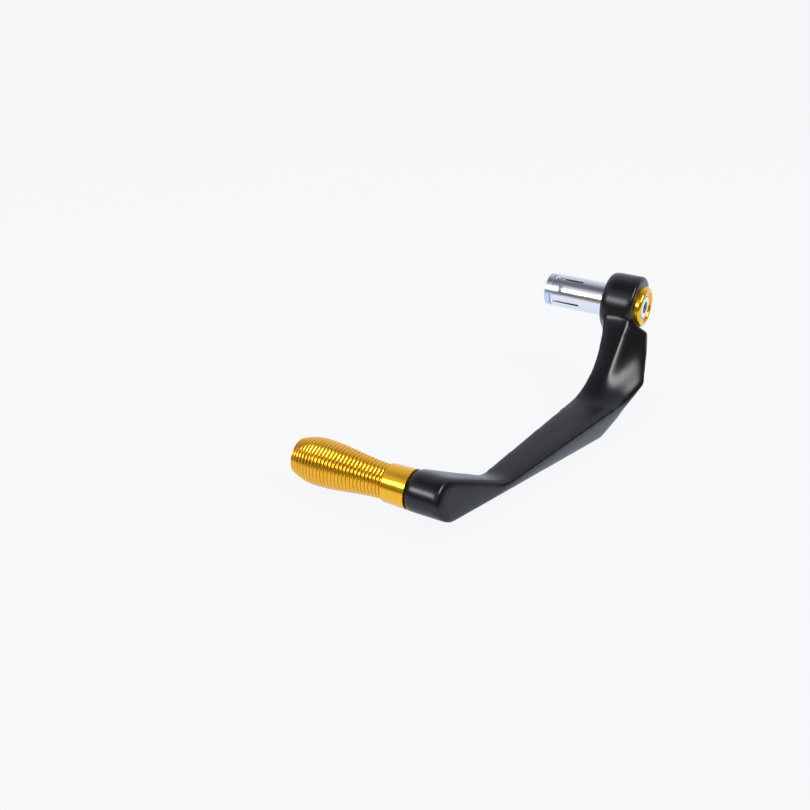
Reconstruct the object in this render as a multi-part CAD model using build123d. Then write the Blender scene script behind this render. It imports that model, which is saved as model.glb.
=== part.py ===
from build123d import *
import math
import os

# A guard that plugs into the end of a handlebar and reaches in front of the lever.
# Frame: X runs outboard along the bar plug, forward is -Y and up is +Z. The origin is on the
# plug's axis, at the inboard face of the arm's eye. Lengths are millimetres, angles degrees.

# How the guard lies: its side view is turned about the plug's axis to bring the underside level
LIE_TURN = 11.0

# Arm: the eye round the bar plug
EYE_RADIUS = 13.4
EYE_LENGTH = 15.3
EYE_INNER_RIM = 2.4
EYE_OUTER_RIM = 1.0
PLUG_RECESS_RADIUS = 9.2
PLUG_RECESS_DEPTH = 1.2
CAP_CLEARANCE = 1.1

# Arm: the two legs of the boomerang, seen along the plug's axis
BEND_FORWARD = 45.5
BEND_DROP = 19.9
UPPER_SLOPE = 32.5
TOP_RISE = 6.3
TOP_TILT = 4.6
BOTTOM_RISE = 14.7
VALLEY_RADIUS = 24.0

# Arm: the faces of the upper leg outboard of its flat strip, and its underside
SCOOP_RIDGE_X = 14.5
SCOOP_LEAN = 40.0
SCOOP_RADIUS = 12.0
FLANK_X = 19.2
FLANK_TURN = 20.0
CHEEK_SHARE = 0.5
CHEEK_LIFT = 2.2
CHEEK_RADIUS = 7.0
UNDER_DROP = 4.2
UNDER_SLOPE = 23.6
UNDER_TILT = 13.6

# Arm: the outboard web of the long leg
WEB_X = 24.5
WEB_TURN = 13.7
WEB_LEAN = 9.0

# Arm: the inboard outline, seen from above
NECK_X = 0.8
WAIST_X = 6.5
WAIST_FORWARD = 35.0
NECK_RUN = 27.0
INBOARD_TURN = 7.5
FLARE_FORWARD = 126.0
FLARE_TURN = 37.0
FLARE_RADIUS = 8.0

# Arm: the eye that carries the grip
REACH = 151.4
TIP_RADIUS = 8.2
TIP_FACE_X = -18.2
TIP_RIM = 1.0
RAMP_SLOPE = 35.0
RAMP_RADIUS = 14.0
FACET_X = -1.4
FACET_LEAN = 18.0
FACET_TURN = -7.0

# Arm: the casting
WALL = 2.2
EDGE_ROUND = 0.8
POCKET_START = 17.0
POCKET_END = 122.0

# Grip
COLLAR_LENGTH = 10.0
COLLAR_BASE_RADIUS = 7.9
COLLAR_END_RADIUS = 7.6
COLLAR_RIM = 0.4
NECK_RADIUS = 6.9
BULGE_RADIUS = 9.4
BULGE_X = -58.0
GRIP_END_X = -68.1
GRIP_END_RADIUS = 7.1
RIDGES = 26
GROOVE_DEPTH = 0.4

# Screws: shank and socket head of the 6 mm size
SHANK_RADIUS = 3.0
HEAD_RADIUS = 5.0
HEAD_HEIGHT = 6.0
KEY_WIDTH = 5.0
KEY_DEPTH = 3.0
SHANK_CLEARANCE = 0.3
HEAD_CLEARANCE = 0.3
THREAD_CLEARANCE = 0.03
GRIP_SEAT_X = -40.0
GRIP_HOLLOW_RADIUS = 5.7
GRIP_SCREW_END_X = -7.8
BOLT_END_X = -28.0

# End cap
CAP_RADIUS = 9.2
CAP_THICKNESS = 3.0
CAP_ROUND = 1.3
CAP_DISH = 0.8
CAP_LAND = 1.2
SPIGOT_RADIUS = 6.6
SPIGOT_CLEARANCE = 0.1
CAP_FLOOR = 2.0
HEAD_SINK = 0.7

# Expander sleeve and wedge nut
SLEEVE_RADIUS = 7.5
SLEEVE_BORE_RADIUS = 4.2
SLEEVE_END_X = -24.9
MOUTH_RADIUS = 6.3
MOUTH_LENGTH = 12.0
SLITS = 4
SLIT_WIDTH = 1.0
SLIT_LENGTH = 13.5
SLIT_ANGLE = 34.0
NOTCHES = 2
NOTCH_WIDTH = 4.6
NOTCH_DEPTH = 5.0
NUT_END_X = -28.6
NUT_HEAD_RADIUS = 7.3
NUT_GAP = 0.9
NUT_RIM = 0.5
CONE_CLEARANCE = 0.15
CONE_LENGTH = 9.0
LUG_CLEARANCE = 0.15
LUG_LENGTH = 4.0

BASE = (Align.CENTER, Align.CENTER, Align.MIN)
blank_size = 3 * REACH


def tan(angle):
    return math.tan(math.radians(angle))


def sin(angle):
    return math.sin(math.radians(angle))


def cos(angle):
    return math.cos(math.radians(angle))


def place(x, forward, up):
    return Vector(x, -forward, up)


def along_x(radius, start, end, forward=0.0):
    """A cylinder parallel to the plug, from start to end."""
    return Pos(start, -forward, 0) * Rot(0, 90, 0) * Cylinder(radius, end - start, align=BASE)


def turned(points):
    """A solid of revolution about the plug's axis, from (x, radius) points."""
    return revolve(make_face(Polyline(*points, close=True)), Axis.X)


# The flat faces of the arm, each as a point on it and its outward direction
bend = place(WAIST_X, BEND_FORWARD, -BEND_DROP)
FACES = {
    "strip": (bend, place(0, sin(UPPER_SLOPE), cos(UPPER_SLOPE))),
    "top": (bend, place(tan(TOP_TILT), -tan(TOP_RISE), 1)),
    "scoop": (
        place(SCOOP_RIDGE_X, BEND_FORWARD, -BEND_DROP),
        place(cos(SCOOP_LEAN), sin(SCOOP_LEAN) * sin(UPPER_SLOPE), sin(SCOOP_LEAN) * cos(UPPER_SLOPE)),
    ),
    "flank": (place(FLANK_X, 0, 0), place(cos(FLANK_TURN), -sin(FLANK_TURN), 0)),
    "under": (place(0, 0, -UNDER_DROP), place(-tan(UNDER_TILT), -tan(UNDER_SLOPE), -1)),
    "bottom": (
        place(0, REACH + TIP_RADIUS * sin(BOTTOM_RISE), -TIP_RADIUS * cos(BOTTOM_RISE)),
        place(0, sin(BOTTOM_RISE), -cos(BOTTOM_RISE)),
    ),
    "web": (place(WEB_X, BEND_FORWARD, -BEND_DROP), place(1, tan(WEB_TURN), -tan(WEB_LEAN))),
    "ramp": (
        place(0, REACH - TIP_RADIUS * sin(RAMP_SLOPE), TIP_RADIUS * cos(RAMP_SLOPE)),
        place(0, -sin(RAMP_SLOPE), cos(RAMP_SLOPE)),
    ),
    "facet": (
        place(FACET_X, REACH, 0),
        place(cos(FACET_LEAN) * cos(FACET_TURN), -cos(FACET_LEAN) * sin(FACET_TURN), sin(FACET_LEAN)),
    ),
}


def corner(first, second, third):
    """The point where three flat faces meet."""
    (p, a), (q, b), (r, c) = FACES[first], FACES[second], FACES[third]
    total = b.cross(c) * p.dot(a) + c.cross(a) * q.dot(b) + a.cross(b) * r.dot(c)
    return total * (1 / a.dot(b.cross(c)))


# The cheek carries the outboard rim of the upper leg over to the web of the long leg
valley_start = corner("scoop", "top", "strip")
valley_end = corner("scoop", "top", "under")
cheek_foot = valley_start + (valley_end - valley_start) * CHEEK_SHARE
cheek_out = (corner("top", "web", "under") - cheek_foot).cross(corner("scoop", "flank", "under") - cheek_foot)
FACES["cheek"] = (cheek_foot + cheek_out.normalized() * CHEEK_LIFT, cheek_out)

UPPER_FACES = ["strip", "scoop", "flank", "under", "bottom", "web"]
LONG_FACES = ["top", "under", "bottom", "web"]
CHEEK_FACES = ["cheek", "flank", "under", "bottom", "web"]
ROUNDED_EDGES = [
    ("web", "top"),
    ("web", "bottom"),
    ("web", "facet"),
    ("facet", "ramp"),
    ("scoop", "flank"),
    ("cheek", "flank"),
    ("cheek", "web"),
    ("flank", "web"),
    ("flank", "under"),
    ("under", "bottom"),
    ("under", "web"),
]


def cut_off(solid, point, outward):
    """Keep what lies behind the plane through point with this outward direction."""
    return split(solid, bisect_by=Plane(origin=point, z_dir=outward), keep=Keep.BOTTOM)


def wedge(names, inset=0.0):
    """The space behind all the named faces, each moved inwards by inset."""
    solid = Box(blank_size, blank_size, blank_size)
    for name in names:
        point, outward = FACES[name]
        solid = cut_off(solid, point - outward.normalized() * inset, outward)
    return solid


def between(solid, low, high):
    """Keep what lies between two distances forward of the plug."""
    solid = cut_off(solid, place(0, low, 0), place(0, -1, 0))
    return cut_off(solid, place(0, high, 0), place(0, 1, 0))


def behind_tip(solid, slope):
    """Keep what lies behind the grip's axis, for a face that rises at slope to meet the tip."""
    return cut_off(solid, place(0, REACH, 0), place(0, cos(slope), sin(slope)))


def edges_on(solid, name):
    """The edges that lie in a flat face."""
    point, outward = FACES[name]
    found = []
    for edge in solid.edges():
        if max(abs((edge @ k - point).dot(outward.normalized())) for k in (0, 0.5, 1)) < 0.001:
            found.append(edge)
    return found


def edges_between(solid, first, second):
    """The edges that two flat faces share."""
    others = edges_on(solid, second)
    return [edge for edge in edges_on(solid, first) if edge in others]


def tip_edges(solid):
    """The edges where the facet cuts the round tip."""
    found = []
    for edge in solid.edges().filter_by(GeomType.ELLIPSE):
        middle = edge @ 0.5
        distance = math.hypot(middle.Y + REACH, middle.Z)
        if abs(distance - TIP_RADIUS) < 0.01:
            found.append(edge)
    return found


def add_cheek(legs):
    """Fill the outboard side of the bend and blend it into the scoop and the top."""
    cheek = between(wedge(CHEEK_FACES), 0, blank_size)
    legs += cut_off(cheek, place(SCOOP_RIDGE_X, 0, 0), place(-1, 0, 0))
    rim = edges_on(legs, "flank") + edges_on(legs, "web")
    seam = [edge for edge in edges_on(legs, "cheek") if edge not in rim]
    return fillet(seam, CHEEK_RADIUS)


def plan_outline():
    """What lies outboard of the arm's inboard outline, seen from above."""
    neck = (NECK_X, NECK_RUN - WAIST_FORWARD)
    waist = (WAIST_X, -WAIST_FORWARD)
    flare_x = WAIST_X - tan(INBOARD_TURN) * (FLARE_FORWARD - WAIST_FORWARD)
    flare = (flare_x, -FLARE_FORWARD)
    heel = (TIP_FACE_X, -FLARE_FORWARD - (flare_x - TIP_FACE_X) / tan(FLARE_TURN))
    far_corners = [(TIP_FACE_X, -blank_size), (blank_size, -blank_size), (blank_size, 0), (NECK_X, 0)]
    outline = TangentArc(waist, neck, tangent=(0, 1)) + Polyline(waist, flare, heel, *far_corners, neck)
    face = make_face(outline)
    face = fillet(face.vertices().sort_by_distance(flare)[0], FLARE_RADIUS)
    return extrude(face, blank_size, both=True)


def arm_body():
    """The solid form of the two legs and the tip, before the eye and the pocket."""
    legs = between(wedge(UPPER_FACES), 0, blank_size) + behind_tip(wedge(LONG_FACES), BOTTOM_RISE)
    legs = fillet(edges_between(legs, "strip", "top"), VALLEY_RADIUS)
    legs = add_cheek(fillet(edges_between(legs, "scoop", "top"), SCOOP_RADIUS))
    ramp = behind_tip(behind_tip(wedge(["ramp", "bottom", "web", "facet"]), BOTTOM_RISE), RAMP_SLOPE)
    tip = along_x(TIP_RADIUS, TIP_FACE_X, blank_size, REACH)
    tip = fillet(tip.edges().sort_by(Axis.X)[0], TIP_RIM)
    for name in ("web", "facet"):
        tip = cut_off(tip, *FACES[name])
    body = legs + (ramp + tip)
    body = fillet(edges_between(body, "ramp", "top"), RAMP_RADIUS)
    rounded = tip_edges(body)
    for first, second in ROUNDED_EDGES:
        rounded += edges_between(body, first, second)
    return fillet(rounded, EDGE_ROUND) & plan_outline()


def pocket():
    """The hollow of the channel, open on the inboard side."""
    hollow = wedge(UPPER_FACES, WALL) + wedge(LONG_FACES, WALL)
    return between(hollow, POCKET_START, POCKET_END)


def eye():
    solid = along_x(EYE_RADIUS, 0, EYE_LENGTH)
    rims = solid.edges().filter_by(GeomType.CIRCLE).sort_by(Axis.X)
    solid = fillet(rims[0], EYE_INNER_RIM)
    rims = solid.edges().filter_by(GeomType.CIRCLE).sort_by(Axis.X)
    return chamfer(rims[-1], EYE_OUTER_RIM)


spigot_end_x = EYE_LENGTH + CAP_THICKNESS - HEAD_SINK - HEAD_HEIGHT - CAP_FLOOR


def arm():
    body = arm_body() - pocket()
    body -= along_x(CAP_RADIUS + CAP_CLEARANCE, EYE_LENGTH, blank_size)
    body += eye()
    body -= along_x(PLUG_RECESS_RADIUS, 0, PLUG_RECESS_DEPTH)
    body -= along_x(SHANK_RADIUS + SHANK_CLEARANCE, 0, EYE_LENGTH)
    body -= along_x(SPIGOT_RADIUS + SPIGOT_CLEARANCE, spigot_end_x - SPIGOT_CLEARANCE, EYE_LENGTH)
    body -= along_x(SHANK_RADIUS + THREAD_CLEARANCE, TIP_FACE_X, GRIP_SCREW_END_X + SHANK_CLEARANCE, REACH)
    return body


def bulb_radius(x):
    """The grip's outline: a long swell from the neck, then a shorter fall to the end."""
    neck_x = TIP_FACE_X - COLLAR_LENGTH
    if x > BULGE_X:
        share = (neck_x - x) / (neck_x - BULGE_X)
        return NECK_RADIUS + (BULGE_RADIUS - NECK_RADIUS) * (1 - math.cos(math.pi * share)) / 2
    share = (BULGE_X - x) / (BULGE_X - GRIP_END_X)
    return BULGE_RADIUS - (BULGE_RADIUS - GRIP_END_RADIUS) * share**2


def grip():
    neck_x = TIP_FACE_X - COLLAR_LENGTH
    bore = SHANK_RADIUS + SHANK_CLEARANCE
    points = [
        (TIP_FACE_X, bore),
        (TIP_FACE_X, COLLAR_BASE_RADIUS),
        (neck_x + COLLAR_RIM, COLLAR_END_RADIUS),
        (neck_x, COLLAR_END_RADIUS - COLLAR_RIM),
    ]
    pitch = (neck_x - GRIP_END_X) / RIDGES
    for ridge in range(RIDGES):
        groove_x = neck_x - pitch * (ridge + 0.5)
        crest_x = neck_x - pitch * (ridge + 1)
        points.append((groove_x, bulb_radius(groove_x) - GROOVE_DEPTH))
        points.append((crest_x, bulb_radius(crest_x)))
    points += [
        (GRIP_END_X, GRIP_HOLLOW_RADIUS),
        (GRIP_SEAT_X, GRIP_HOLLOW_RADIUS),
        (GRIP_SEAT_X, bore),
    ]
    return Pos(0, -REACH, 0) * turned(points)


def socket_screw(seat_x, end_x, forward=0.0):
    """A socket-head screw along the plug's direction, with its head on the far side of its seat."""
    outward = 1 if seat_x > end_x else -1
    top_x = seat_x + outward * HEAD_HEIGHT
    solid = turned([(end_x, 0), (end_x, SHANK_RADIUS), (seat_x, SHANK_RADIUS), (seat_x, HEAD_RADIUS),
                    (top_x, HEAD_RADIUS), (top_x, 0)])
    key = RegularPolygon(KEY_WIDTH / 2, 6, major_radius=False)
    key = extrude(Plane(origin=(top_x, 0, 0), z_dir=(-outward, 0, 0)) * key, KEY_DEPTH)
    return Pos(0, -forward, 0) * (solid - key)


def end_cap():
    front_x = EYE_LENGTH + CAP_THICKNESS
    socket = HEAD_RADIUS + HEAD_CLEARANCE
    shank = SHANK_RADIUS + SHANK_CLEARANCE
    flange = along_x(CAP_RADIUS, EYE_LENGTH, front_x)
    flange = chamfer(flange.edges().sort_by(Axis.X)[-1], CAP_ROUND)
    dish = turned([(front_x, 0), (front_x, CAP_RADIUS - CAP_ROUND - CAP_LAND), (front_x - CAP_DISH, socket),
                   (front_x - CAP_DISH, 0)])
    body = flange - dish + along_x(SPIGOT_RADIUS, spigot_end_x, EYE_LENGTH)
    body -= along_x(socket, spigot_end_x + CAP_FLOOR, front_x)
    return body - along_x(shank, spigot_end_x, front_x)


def mouth_radius(x):
    """The sleeve's conical mouth, widest at its free end."""
    share = (SLEEVE_END_X + MOUTH_LENGTH - x) / MOUTH_LENGTH
    return SLEEVE_BORE_RADIUS + (MOUTH_RADIUS - SLEEVE_BORE_RADIUS) * share


def radial_bar(width, start, end, angle):
    """A flat bar that stands on the plug's axis and reaches past the sleeve at this angle."""
    bar = Box(end - start, width, 2 * SLEEVE_RADIUS, align=(Align.MIN, Align.CENTER, Align.MIN))
    return Rot(angle, 0, 0) * Pos(start, 0, 0) * bar


def notch_angles():
    return [90 - SLIT_ANGLE + 360 / NOTCHES * number for number in range(NOTCHES)]


def expander_sleeve():
    mouth_start = SLEEVE_END_X + MOUTH_LENGTH
    body = turned([
        (PLUG_RECESS_DEPTH, SLEEVE_BORE_RADIUS),
        (PLUG_RECESS_DEPTH, SLEEVE_RADIUS),
        (SLEEVE_END_X, SLEEVE_RADIUS),
        (SLEEVE_END_X, MOUTH_RADIUS),
        (mouth_start, SLEEVE_BORE_RADIUS),
    ])
    for number in range(SLITS):
        angle = notch_angles()[0] + 360 / SLITS * (number + 0.5)
        body -= radial_bar(SLIT_WIDTH, SLEEVE_END_X, SLEEVE_END_X + SLIT_LENGTH, angle)
    for angle in notch_angles():
        body -= radial_bar(NOTCH_WIDTH, SLEEVE_END_X, SLEEVE_END_X + NOTCH_DEPTH, angle)
    return body


def wedge_nut():
    head_x = SLEEVE_END_X - NUT_GAP
    bore = SHANK_RADIUS + THREAD_CLEARANCE
    cone_start = mouth_radius(head_x) - CONE_CLEARANCE
    cone_end = mouth_radius(head_x + CONE_LENGTH) - CONE_CLEARANCE
    body = turned([
        (NUT_END_X, bore),
        (NUT_END_X, NUT_HEAD_RADIUS - NUT_RIM),
        (NUT_END_X + NUT_RIM, NUT_HEAD_RADIUS),
        (head_x, NUT_HEAD_RADIUS),
        (head_x, cone_start),
        (head_x + CONE_LENGTH, cone_end),
        (head_x + CONE_LENGTH, bore),
    ])
    lug_room = along_x(NUT_HEAD_RADIUS, head_x, head_x + LUG_LENGTH) - along_x(bore, head_x, head_x + LUG_LENGTH)
    for angle in notch_angles():
        body += radial_bar(NOTCH_WIDTH - 2 * LUG_CLEARANCE, head_x, head_x + LUG_LENGTH, angle) & lug_room
    return body


parts = {
    "arm": arm(),
    "grip": grip(),
    "grip_screw": socket_screw(GRIP_SEAT_X, GRIP_SCREW_END_X, REACH),
    "end_cap": end_cap(),
    "clamp_bolt": socket_screw(spigot_end_x + CAP_FLOOR, BOLT_END_X),
    "expander_sleeve": expander_sleeve(),
    "wedge_nut": wedge_nut(),
}

os.makedirs("parts", exist_ok=True)
for name, part in parts.items():
    export_step(Rot(LIE_TURN, 0, 0) * part, f"parts/{name}.step")
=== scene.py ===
import math

import bpy
import numpy as np
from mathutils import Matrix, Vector

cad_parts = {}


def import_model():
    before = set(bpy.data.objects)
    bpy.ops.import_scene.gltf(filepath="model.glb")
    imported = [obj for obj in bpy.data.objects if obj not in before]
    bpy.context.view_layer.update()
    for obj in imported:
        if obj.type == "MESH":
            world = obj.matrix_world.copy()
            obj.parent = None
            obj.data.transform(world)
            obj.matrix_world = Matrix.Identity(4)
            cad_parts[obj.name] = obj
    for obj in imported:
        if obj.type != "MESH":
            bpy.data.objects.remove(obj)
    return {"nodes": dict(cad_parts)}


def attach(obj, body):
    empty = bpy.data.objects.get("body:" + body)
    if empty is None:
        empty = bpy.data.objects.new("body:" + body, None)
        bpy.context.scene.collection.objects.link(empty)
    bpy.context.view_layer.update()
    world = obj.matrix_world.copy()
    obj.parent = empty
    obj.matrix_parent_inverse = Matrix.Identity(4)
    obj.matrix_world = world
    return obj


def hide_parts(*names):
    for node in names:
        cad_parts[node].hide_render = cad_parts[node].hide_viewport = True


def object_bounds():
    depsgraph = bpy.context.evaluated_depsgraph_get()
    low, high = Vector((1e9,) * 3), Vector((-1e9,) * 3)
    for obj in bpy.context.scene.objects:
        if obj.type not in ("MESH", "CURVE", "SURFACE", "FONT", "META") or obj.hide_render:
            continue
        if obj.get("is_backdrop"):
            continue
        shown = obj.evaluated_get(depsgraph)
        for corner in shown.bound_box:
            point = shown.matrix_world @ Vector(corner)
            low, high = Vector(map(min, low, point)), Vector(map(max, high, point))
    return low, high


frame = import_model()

nodes = frame["nodes"]
scene = bpy.context.scene
cad_low, cad_high = (list(corner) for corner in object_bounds())

# Lengths are metres in the CAD frame: X outboard along the bar plug, -Y forward, Z up.
# An axis along X is given by its (y, z), and colours are linear RGBA.
LIE_TURN = math.radians(11.0)
REACH = 0.1514
PLUG_AXIS = (0.0, 0.0)
GRIP_AXIS = (-REACH * math.cos(LIE_TURN), -REACH * math.sin(LIE_TURN))

# Turned pieces
LATHE_SEGMENTS = 128
ARC_STEPS = 8
SHARP_ANGLE = math.radians(38.0)
SHANK_HOLE_RADIUS = 0.0033

# Grip: the turned outline of the CAD node, with its ridges rounded
COLLAR_X = -0.0182
NECK_X = -0.0282
BULGE_X = -0.0580
GRIP_END_X = -0.06808
COLLAR_BASE_RADIUS = 0.0079
COLLAR_END_RADIUS = 0.0076
COLLAR_RIM = 0.0004
NECK_RADIUS = 0.0069
BULGE_RADIUS = 0.00938
GRIP_END_RADIUS = 0.0071
GRIP_END_ROUND = 0.0005
GRIP_END_INSET = 0.0002
GRIP_END_ARC = (100, 180)
GRIP_RIDGES = 26
GRIP_RIDGE_STEPS = 10
GROOVE_DEPTH = 0.00055
GRIP_SEAT_X = -0.040
GRIP_HOLLOW_RADIUS = 0.0057

# End cap: the turned outline of the CAD node, with its edges rounded
CAP_BACK_X = 0.0153
CAP_FRONT_X = 0.0183
CAP_RADIUS = 0.0092
CAP_ROUND = 0.0015
CAP_ROUND_STEPS = 12
CAP_LIP = 0.0010
CAP_LIP_ARC = (-10, -78)
CAP_DISH_DEPTH = 0.0008
CAP_DISH_RADIUS = 0.0067
CAP_SOCKET_RADIUS = 0.0053
SPIGOT_RADIUS = 0.0066
SPIGOT_END_X = 0.0096
SPIGOT_FLOOR_X = 0.0116

# Arm: an even mesh of the CAD node, with edges softened as on a coated casting
VOXEL = 0.0005
LEG_AXIS = (-0.15, -1.0, -0.12)
GRID_DIAGONAL = (1.0, 1.0, 1.0)
EDGE_SOFTNESS = 0.16
ARM_RIDGE_SOFTNESS = 0.03
ARM_DISH_SOFTNESS = 0.5
EVENING_SOFTNESS = 0.5
SOFTENING_STEPS = 100
EVENING_STEPS = 50
EASING_STEPS = 70
EDGE_SPREAD = 6
EDGE_BEND = 0.0025
USUAL_NEIGHBOURS = 4
ARM_DISH_CENTRE = (0.0200, -0.0280, -0.0230)
ARM_DISH_INNER = 0.012
ARM_DISH_OUTER = 0.022
ARM_DISH_START_X = 0.0135
ARM_DISH_BLEND = 0.006
ARM_RIDGE_X = 0.0145
ARM_RIDGE_HALF_WIDTH = 0.004
ARM_RIDGE_END_Y = -0.034
CAP_SEAT_RADIUS = 0.0094

# Finishes: a noise moves each colour and each roughness between two values
NOISE_RANGE = (0.3, 0.7)
UNSTRETCHED = (1.0, 1.0, 1.0)
FINE_DETAIL = 4.0
SMOOTH_DETAIL = 2.0
SATIN_TONES = ((0.003, 0.003, 0.0035, 1.0), (0.0045, 0.0045, 0.0055, 1.0))
SATIN_GLOSS = (0.23, 0.28)
SATIN_IOR = 1.5
SATIN_CLOUD = 60.0
SATIN_GRAIN = 5200.0
GRAIN_STRENGTH = 0.05
GRAIN_HEIGHT = 0.00004
GOLD_TONES = ((0.99, 0.48, 0.0, 1.0), (1.0, 0.54, 0.004, 1.0))
GOLD_GLOSS = (0.11, 0.18)
GOLD_METALLIC = 0.85
GOLD_COAT = 0.6
# Painted shade: the bottom of each of the grip's grooves is painted a darker orange
GROOVE_PAINTED_SHADE = (0.60, 0.20, 0.0, 1.0)
GROOVE_SHADE_FROM = (0.32, 0.48)
ZINC_TONES = ((0.84, 0.85, 0.87, 1.0), (0.92, 0.93, 0.95, 1.0))
ZINC_GLOSS = (0.12, 0.22)
BLUE_TONES = ((0.60, 0.70, 0.80, 1.0), (0.74, 0.82, 0.90, 1.0))
BLUE_GLOSS = (0.20, 0.30)
COAT_ROUGHNESS = 0.08
METAL_CLOUD = 90.0
RING_MARKS = (9000.0, 60.0, 60.0)
DRAWN_MARKS = (60.0, 2500.0, 2500.0)
MARK_STRENGTH = 0.06
MARK_HEIGHT = 0.00002

# Studio: levels of the sky go by the height of a direction, from 0 at the horizon to 1 overhead
PAPER_WHITE = (0.930, 0.939, 0.956, 1.0)
FLOOR_HALF_SIZE = 6.0
FLOOR_MATT = (0.83, 0.855, 0.90, 1.0)
# Painted reflection: to glossy rays the floor glows dark in front and pale behind
FLOOR_FRONT_PAINTED_SHADE = (0.10, 0.10, 0.11, 1.0)
FLOOR_BACK_PAINTED_GLOW = (0.79, 0.86, 1.0, 1.0)
FLOOR_PAINTED_REFLECTION_Y = (-0.32, -0.20)
FLOOR_SEEN = 0.96
FLOOR_MIRRORED = 0.85
SKY_BEHIND = [(0.0, 0.85), (0.3, 0.80), (0.62, 0.68), (0.75, 0.60), (0.88, 0.40), (0.95, 0.20), (1.0, 0.12)]
SKY_BEFORE = [(0.0, 0.05), (0.3, 0.30), (0.55, 0.55), (0.7, 0.7), (0.8, 0.55), (0.88, 0.18), (1.0, 0.06)]
SKY_TURN_Y = (-0.15, 0.25)
SKY_SIDE_X = (0.45, 0.75)
SKY_SIDE_STRENGTH = (1.0, 0.08)
SKY_TINT = (0.95, 0.97, 1.12, 1.0)
GUARD_MIDDLE = (0.0, -0.07, -0.02)
ARM_DISH_MIDDLE = (0.0185, -0.029, -0.022)
CAMERA_PLACE = (0.14848, -0.45279, 0.18196)
CAMERA_TURN = (63.1131, -0.7148, 29.6242)
CAMERA_LENS_MM = 48.663
CAMERA_SENSOR_MM = 36.0
CAMERA_CLIP_START = 0.01


def feed(tree, socket, value):
    """Link an output to an input, or set the input to a plain value."""
    if isinstance(value, bpy.types.NodeSocket):
        tree.links.new(value, socket)
    else:
        socket.default_value = value


def add(tree, kind, **inputs):
    """A node with some of its inputs fed by name."""
    node = tree.nodes.new(kind)
    for name, value in inputs.items():
        feed(tree, node.inputs[name.replace("_", " ")], value)
    return node


def fill(tree, node, *values):
    """Feed the inputs of a node in their order."""
    for socket, value in zip(node.inputs, values):
        feed(tree, socket, value)


def new_material(name):
    """An empty node material and its tree."""
    material = bpy.data.materials.new(name)
    material.use_nodes = True
    tree = material.node_tree
    tree.nodes.clear()
    return material, tree


def coordinates(tree, space):
    """The X, Y and Z of a shaded point in its object's space, or of a direction in the world."""
    place = tree.nodes.new("ShaderNodeTexCoord")
    return add(tree, "ShaderNodeSeparateXYZ", Vector=place.outputs[space]).outputs


def stretched(tree, scale):
    """Object coordinates, stretched along each axis by scale."""
    place = tree.nodes.new("ShaderNodeTexCoord")
    return add(tree, "ShaderNodeMapping", Vector=place.outputs["Object"], Scale=scale).outputs["Vector"]


def noise(tree, vector, scale, detail):
    return add(tree, "ShaderNodeTexNoise", Vector=vector, Scale=scale, Detail=detail).outputs["Fac"]


def bump(tree, height, strength, distance):
    node = add(tree, "ShaderNodeBump", Height=height, Strength=strength, Distance=distance)
    return node.outputs["Normal"]


def reckoned(tree, operation, *values):
    """The result of a Math node."""
    node = tree.nodes.new("ShaderNodeMath")
    node.operation = operation
    fill(tree, node, *values)
    return node.outputs["Value"]


def spread(tree, source, given, made=(0.0, 1.0)):
    """A straight change from one range of numbers to another, held at both ends."""
    node = add(tree, "ShaderNodeMapRange", Value=source)
    node.inputs["From Min"].default_value, node.inputs["From Max"].default_value = given
    node.inputs["To Min"].default_value, node.inputs["To Max"].default_value = made
    return node.outputs["Result"]


def ramp(tree, source, stops):
    """A grey level from (position, level) stops."""
    node = add(tree, "ShaderNodeValToRGB", Fac=source)
    elements = node.color_ramp.elements
    while len(elements) < len(stops):
        elements.new(0.5)
    for element, (position, level) in zip(elements, stops):
        element.position = position
        element.color = (level, level, level, 1.0)
    return node.outputs["Color"]


def mixed(tree, share, first, second, blend="MIX"):
    """A colour that goes from the first to the second, each a colour or an output, as the share grows."""
    node = tree.nodes.new("ShaderNodeMix")
    node.data_type = "RGBA"
    node.blend_type = blend
    feed(tree, node.inputs["Factor"], share)
    feed(tree, node.inputs["A"], first)
    feed(tree, node.inputs["B"], second)
    return node.outputs["Result"]


def joined(tree, share, first, second):
    """A shader that goes from the first to the second as the share grows."""
    node = tree.nodes.new("ShaderNodeMixShader")
    fill(tree, node, share, first, second)
    return node.outputs["Shader"]


def gloss(tree, source, levels):
    """A roughness that follows a noise from one level to another."""
    return ramp(tree, source, list(zip(NOISE_RANGE, levels)))


def shade(tree, **inputs):
    """Give a material its surface, from a Principled node with these inputs."""
    body = add(tree, "ShaderNodeBsdfPrincipled", **inputs)
    add(tree, "ShaderNodeOutputMaterial", Surface=body.outputs["BSDF"])


def black_satin():
    """A satin black coat over a casting: fine grain and a slight change of gloss."""
    material, tree = new_material("black_satin")
    place = stretched(tree, UNSTRETCHED)
    cloud = noise(tree, place, SATIN_CLOUD, SMOOTH_DETAIL)
    grain = noise(tree, place, SATIN_GRAIN, SMOOTH_DETAIL)
    shade(
        tree,
        IOR=SATIN_IOR,
        Base_Color=mixed(tree, cloud, *SATIN_TONES),
        Roughness=gloss(tree, cloud, SATIN_GLOSS),
        Normal=bump(tree, grain, GRAIN_STRENGTH, GRAIN_HEIGHT),
    )
    return material


def groove_shade_share(tree):
    """How much painted shade the grip's grooves get: nothing on its ridges, its smooth faces and its hollow,
    one at the bottom of each groove.
    """
    # Counted in ridges, there is a crest at each whole number and a groove halfway to the next
    along = spread(tree, coordinates(tree, "Object")["X"], (NECK_X, GRIP_END_X), (0.0, GRIP_RIDGES))
    from_crest = reckoned(tree, "PINGPONG", along, 0.5)
    radius = tree.nodes.new("ShaderNodeVectorMath")
    radius.operation = "DISTANCE"
    fill(tree, radius, stretched(tree, (0.0, 1.0, 1.0)), (0.0, *GRIP_AXIS))
    outside = spread(tree, radius.outputs["Value"], (GRIP_HOLLOW_RADIUS, NECK_RADIUS - GROOVE_DEPTH))
    return reckoned(tree, "MULTIPLY", spread(tree, from_crest, GROOVE_SHADE_FROM), outside)


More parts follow.
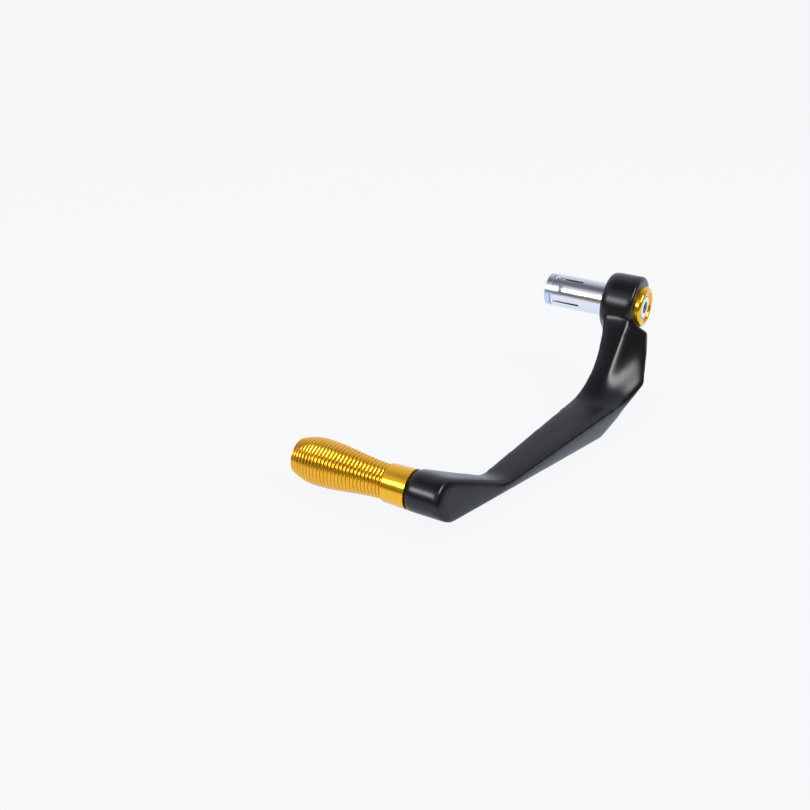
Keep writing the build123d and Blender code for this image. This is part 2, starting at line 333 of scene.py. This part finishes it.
def bright_metal(name, tones, levels, marks, metallic=1.0, coat=0.0, groove=None):
    """A bright metal with slow changes of tone and fine tool marks, as rings round X or lines along it, and
    painted shade at the bottom of the grip's grooves when groove is given.
    """
    material, tree = new_material(name)
    lines = noise(tree, stretched(tree, marks), 1.0, FINE_DETAIL)
    cloud = noise(tree, stretched(tree, UNSTRETCHED), METAL_CLOUD, SMOOTH_DETAIL)
    colour = mixed(tree, cloud, *tones)
    # Painted shade: a darker orange is painted into the bottom of each groove
    if groove:
        colour = mixed(tree, groove_shade_share(tree), colour, groove)
    shade(
        tree,
        Base_Color=colour,
        Metallic=metallic,
        Coat_Weight=coat,
        Coat_Roughness=COAT_ROUGHNESS,
        Roughness=gloss(tree, lines, levels),
        Normal=bump(tree, lines, MARK_STRENGTH, MARK_HEIGHT),
    )
    return material


black = black_satin()
gold = bright_metal(
    "gold_anodised", GOLD_TONES, GOLD_GLOSS, RING_MARKS,
    metallic=GOLD_METALLIC, coat=GOLD_COAT, groove=GROOVE_PAINTED_SHADE,
)
zinc = bright_metal("zinc_plate", ZINC_TONES, ZINC_GLOSS, DRAWN_MARKS)
blue_zinc = bright_metal("blue_zinc", BLUE_TONES, BLUE_GLOSS, RING_MARKS)

FINISHES = {
    "grip_screw": zinc,
    "clamp_bolt": zinc,
    "expander_sleeve": zinc,
    "wedge_nut": blue_zinc,
}
for name, finish in FINISHES.items():
    mesh = nodes[name].data
    mesh.materials.clear()
    mesh.materials.append(finish)


def lathe(name, node, profile, axis, finish):
    """A turned piece from a closed (x, radius) profile, in place of a node of the guard."""
    verts = []
    faces = []
    count = len(profile)
    # The sign of the outline's area tells which way round it runs, and so where its faces look
    area = sum(x * profile[k - 1][1] - profile[k - 1][0] * radius for k, (x, radius) in enumerate(profile))
    profile = profile if area > 0 else profile[::-1]
    for step in range(LATHE_SEGMENTS):
        angle = 2 * math.pi * step / LATHE_SEGMENTS
        side, up = math.sin(angle), math.cos(angle)
        for x, radius in profile:
            verts.append((x, axis[0] + radius * side, axis[1] + radius * up))
        here, there = step * count, (step + 1) % LATHE_SEGMENTS * count
        for k in range(count):
            after = (k + 1) % count
            faces.append((here + k, here + after, there + after, there + k))
    mesh = bpy.data.meshes.new(name)
    mesh.from_pydata(verts, [], faces)
    mesh.shade_smooth()
    mesh.set_sharp_from_angle(angle=SHARP_ANGLE)
    mesh.materials.append(finish)
    piece = bpy.data.objects.new(name, mesh)
    scene.collection.objects.link(piece)
    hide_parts(node)
    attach(piece, "guard")


def rounded(centre, radius, start, end, steps=ARC_STEPS):
    """Points on an arc of a profile, with angles in degrees from +X towards larger radius."""
    points = []
    for step in range(steps + 1):
        angle = math.radians(start + (end - start) * step / steps)
        points.append((centre[0] + radius * math.cos(angle), centre[1] + radius * math.sin(angle)))
    return points


def bulb_radius(x):
    """The grip's outline: a long swell from the neck, then a shorter fall to the end."""
    if x > BULGE_X:
        share = (NECK_X - x) / (NECK_X - BULGE_X)
        return NECK_RADIUS + (BULGE_RADIUS - NECK_RADIUS) * (1 - math.cos(math.pi * share)) / 2
    share = (BULGE_X - x) / (BULGE_X - GRIP_END_X)
    return BULGE_RADIUS - (BULGE_RADIUS - GRIP_END_RADIUS) * share**2


def grip_profile():
    """The collar, the ridged bulb with its rounded end, and the hollow down to the seat of the screw."""
    points = [(COLLAR_X, SHANK_HOLE_RADIUS), (COLLAR_X, COLLAR_BASE_RADIUS)]
    points += rounded((NECK_X + COLLAR_RIM, COLLAR_END_RADIUS - COLLAR_RIM), COLLAR_RIM, 90, 180)
    pitch = (NECK_X - GRIP_END_X) / GRIP_RIDGES
    for step in range(GRIP_RIDGES * GRIP_RIDGE_STEPS):
        phase = (step + 0.5) / GRIP_RIDGE_STEPS
        x = NECK_X - pitch * phase
        points.append((x, bulb_radius(x) - GROOVE_DEPTH * (1 - abs(math.cos(math.pi * phase)))))
    end_centre = (GRIP_END_X + GRIP_END_ROUND, GRIP_END_RADIUS - GRIP_END_ROUND - GRIP_END_INSET)
    points += rounded(end_centre, GRIP_END_ROUND, *GRIP_END_ARC)
    points += [(GRIP_END_X, GRIP_HOLLOW_RADIUS), (GRIP_SEAT_X, GRIP_HOLLOW_RADIUS)]
    points += [(GRIP_SEAT_X, SHANK_HOLE_RADIUS)]
    return points


def cap_profile():
    """The spigot, the rounded ring, the dish and the socket for the bolt's head."""
    points = [(SPIGOT_END_X, SHANK_HOLE_RADIUS), (SPIGOT_END_X, SPIGOT_RADIUS)]
    points += [(CAP_BACK_X, SPIGOT_RADIUS), (CAP_BACK_X, CAP_RADIUS)]
    ring_centre = (CAP_FRONT_X - CAP_ROUND, CAP_RADIUS - CAP_ROUND)
    points += rounded(ring_centre, CAP_ROUND, 90, 0, CAP_ROUND_STEPS)
    points += rounded((CAP_FRONT_X - CAP_LIP, CAP_DISH_RADIUS + CAP_LIP), CAP_LIP, *CAP_LIP_ARC)
    points += [(CAP_FRONT_X - CAP_DISH_DEPTH, CAP_SOCKET_RADIUS), (SPIGOT_FLOOR_X, CAP_SOCKET_RADIUS)]
    points += [(SPIGOT_FLOOR_X, SHANK_HOLE_RADIUS)]
    return points


def rows(items, attribute, width, kind=float):
    """An attribute of a mesh's vertices or edges, a row for each."""
    values = np.empty(len(items) * width, kind)
    items.foreach_get(attribute, values)
    return values.reshape(-1, width)


def softened(values, edges, strength, steps):
    """Vertex values after repeated moves towards the middle of their neighbours, each by its own strength."""
    count, width = values.shape
    first, second = edges[:, 0], edges[:, 1]
    degree = np.bincount(edges.ravel(), minlength=count)[:, None]
    for _ in range(steps):
        total = np.empty_like(values)
        for k in range(width):
            total[:, k] = np.bincount(first, values[second, k], count)
            total[:, k] += np.bincount(second, values[first, k], count)
        values = values + strength[:, None] * (total / degree - values)
    return values


def gentleness(normals, edges):
    """A strength for each vertex that is full on flat and gently curved faces and falls away at edges."""
    count = len(normals)
    first, second = edges[:, 0], edges[:, 1]
    turn = 1.0 - np.einsum("ij,ij->i", normals[first], normals[second])
    bend = (np.bincount(first, turn, count) + np.bincount(second, turn, count)) / USUAL_NEIGHBOURS
    bend = softened(bend[:, None], edges, np.full(count, EVENING_SOFTNESS), EDGE_SPREAD)[:, 0]
    return EVENING_SOFTNESS / (1.0 + (bend / EDGE_BEND) ** 2)


def vertex_normals(mesh, co):
    """The normals of a mesh once its vertices are moved to new places."""
    mesh.vertices.foreach_set("co", co.ravel())
    mesh.update()
    return rows(mesh.vertices, "normal", 3)


def near(co, centre, inner, outer):
    """One within the inner distance of a point, falling smoothly to nothing at the outer distance."""
    share = np.clip((outer - np.linalg.norm(co - np.array(centre), axis=1)) / (outer - inner), 0.0, 1.0)
    return share * share * (3.0 - 2.0 * share)


def arm_softness(co):
    """How far each vertex of the arm moves in a step: most in the dish, least on the ridge beside it."""
    beyond_ridge = np.clip((co[:, 0] - ARM_DISH_START_X) / ARM_DISH_BLEND, 0.0, 1.0)
    dish = ARM_DISH_SOFTNESS * near(co, ARM_DISH_CENTRE, ARM_DISH_INNER, ARM_DISH_OUTER) * beyond_ridge
    ridge = np.clip(1.0 - np.abs(co[:, 0] - ARM_RIDGE_X) / ARM_RIDGE_HALF_WIDTH, 0.0, 1.0)
    ridge *= np.clip((co[:, 1] - ARM_RIDGE_END_Y) / ARM_RIDGE_HALF_WIDTH, 0.0, 1.0)
    edge = EDGE_SOFTNESS + (ARM_RIDGE_SOFTNESS - EDGE_SOFTNESS) * ridge
    return np.maximum(edge, dish)


def modify(piece, kind, **settings):
    """Replace the mesh of a piece by what one modifier makes of it."""
    modifier = piece.modifiers.new(kind.lower(), kind)
    for name, value in settings.items():
        setattr(modifier, name, value)
    graph = bpy.context.evaluated_depsgraph_get()
    mesh = bpy.data.meshes.new_from_object(piece.evaluated_get(graph))
    piece.modifiers.clear()
    piece.data = mesh


def cast_arm():
    """The arm as a coated casting: the node's form made even, fitted onto the solid again and softened."""
    piece = bpy.data.objects.new("cast_arm", nodes["arm"].data.copy())
    scene.collection.objects.link(piece)
    # The voxels lie askew to the long leg, so that they leave no steps along it
    turn = Vector(LEG_AXIS).rotation_difference(Vector(GRID_DIAGONAL)).to_matrix().to_4x4()
    piece.data.transform(turn)
    modify(piece, "REMESH", mode="VOXEL", voxel_size=VOXEL)
    piece.data.transform(turn.inverted())
    modify(piece, "SHRINKWRAP", wrap_method="NEAREST_SURFACEPOINT", target=nodes["arm"])
    mesh = piece.data
    mesh.shade_smooth()
    co = rows(mesh.vertices, "co", 3)
    edges = rows(mesh.edges, "vertices", 2, int)
    # The bore and the seat of the cap keep their form
    bore = (np.hypot(co[:, 1], co[:, 2]) < CAP_SEAT_RADIUS) & (co[:, 0] < CAP_BACK_X + VOXEL)
    strength = arm_softness(co)
    strength[bore] = 0.0
    co = softened(co, edges, strength, SOFTENING_STEPS)
    gentle = gentleness(vertex_normals(mesh, co), edges)
    gentle[bore] = 0.0
    co = softened(co, edges, gentle, EVENING_STEPS)
    normals = softened(vertex_normals(mesh, co), edges, gentle, EASING_STEPS)
    mesh.normals_split_custom_set_from_vertices(normals / np.linalg.norm(normals, axis=1)[:, None])
    mesh.materials.clear()
    mesh.materials.append(black)
    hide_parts("arm")
    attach(piece, "guard")


cast_arm()
lathe("turned_grip", "grip", grip_profile(), GRIP_AXIS, gold)
lathe("turned_cap", "end_cap", cap_profile(), PLUG_AXIS, gold)


def floor():
    """A floor that looks as white as the background, with faint shadows, and to reflections glows with a
    painted reflection, dark in front and pale behind.
    """
    far = FLOOR_HALF_SIZE
    level = cad_low[2]
    mesh = bpy.data.meshes.new("floor")
    corners = [(-far, -far, level), (far, -far, level), (far, far, level), (-far, far, level)]
    mesh.from_pydata(corners, [], [(0, 1, 2, 3)])
    plane = bpy.data.objects.new("floor", mesh)
    scene.collection.objects.link(plane)
    material, tree = new_material("pale_floor")
    path = tree.nodes.new("ShaderNodeLightPath").outputs
    # Painted reflection: the colour that glossy rays see, dark in front and pale behind
    backward = spread(tree, coordinates(tree, "Object")["Y"], FLOOR_PAINTED_REFLECTION_Y)
    tone = mixed(tree, backward, FLOOR_FRONT_PAINTED_SHADE, FLOOR_BACK_PAINTED_GLOW)
    colour = mixed(tree, path["Is Camera Ray"], tone, PAPER_WHITE)
    mirrored = reckoned(tree, "MULTIPLY", path["Is Glossy Ray"], FLOOR_MIRRORED)
    share = reckoned(tree, "MULTIPLY_ADD", path["Is Camera Ray"], FLOOR_SEEN, mirrored)
    matt = add(tree, "ShaderNodeBsdfDiffuse", Color=FLOOR_MATT)
    glow = add(tree, "ShaderNodeEmission", Color=colour, Strength=1.0)
    surface = joined(tree, share, matt.outputs["BSDF"], glow.outputs["Emission"])
    add(tree, "ShaderNodeOutputMaterial", Surface=surface)
    mesh.materials.append(material)
    plane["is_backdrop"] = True


def world():
    """White for the camera. For the object, a studio that is pale low down behind and halfway up in front,
    and dark overhead and on the outboard side."""
    sky = bpy.data.worlds.new("studio")
    scene.world = sky
    sky.use_nodes = True
    tree = sky.node_tree
    tree.nodes.clear()
    way = coordinates(tree, "Generated")
    before = ramp(tree, way["Z"], SKY_BEFORE)
    behind = ramp(tree, way["Z"], SKY_BEHIND)
    level = mixed(tree, spread(tree, way["Y"], SKY_TURN_Y), before, behind)
    cool = mixed(tree, 1.0, level, SKY_TINT, "MULTIPLY")
    strength = spread(tree, way["X"], SKY_SIDE_X, SKY_SIDE_STRENGTH)
    studio = add(tree, "ShaderNodeBackground", Color=cool, Strength=strength)
    paper = add(tree, "ShaderNodeBackground", Color=PAPER_WHITE, Strength=1.0)
    path = tree.nodes.new("ShaderNodeLightPath").outputs
    surface = joined(tree, path["Is Camera Ray"], studio.outputs["Background"], paper.outputs["Background"])
    add(tree, "ShaderNodeOutputWorld", Surface=surface)


def lamp(name, place, target, size, power, shows=True):
    """A soft rectangular lamp that faces target."""
    data = bpy.data.lights.new(name, "AREA")
    data.shape = "RECTANGLE"
    data.size, data.size_y = size
    data.energy = power
    lamp_object = bpy.data.objects.new(name, data)
    lamp_object.location = place
    lamp_object.rotation_euler = (Vector(target) - Vector(place)).to_track_quat("-Z", "Y").to_euler()
    lamp_object.visible_glossy = shows
    scene.collection.objects.link(lamp_object)


def camera():
    """The photograph's view."""
    data = bpy.data.cameras.new("camera")
    data.sensor_width = CAMERA_SENSOR_MM
    data.lens = CAMERA_LENS_MM
    data.clip_start = CAMERA_CLIP_START
    eye = bpy.data.objects.new("camera", data)
    eye.location = CAMERA_PLACE
    eye.rotation_euler = [math.radians(angle) for angle in CAMERA_TURN]
    scene.collection.objects.link(eye)
    scene.camera = eye


floor()
world()
lamp("overhead", place=(0.0, -0.1, 1.2), target=GUARD_MIDDLE, size=(1.6, 1.6), power=9.0, shows=False)
lamp("front", place=(-0.41, -0.94, 0.50), target=GUARD_MIDDLE, size=(0.5, 0.28), power=3.6)
lamp("side", place=(0.715, -0.152, 0.685), target=ARM_DISH_MIDDLE, size=(0.60, 0.28), power=5.6)
camera()
scene.view_settings.view_transform = "Standard"
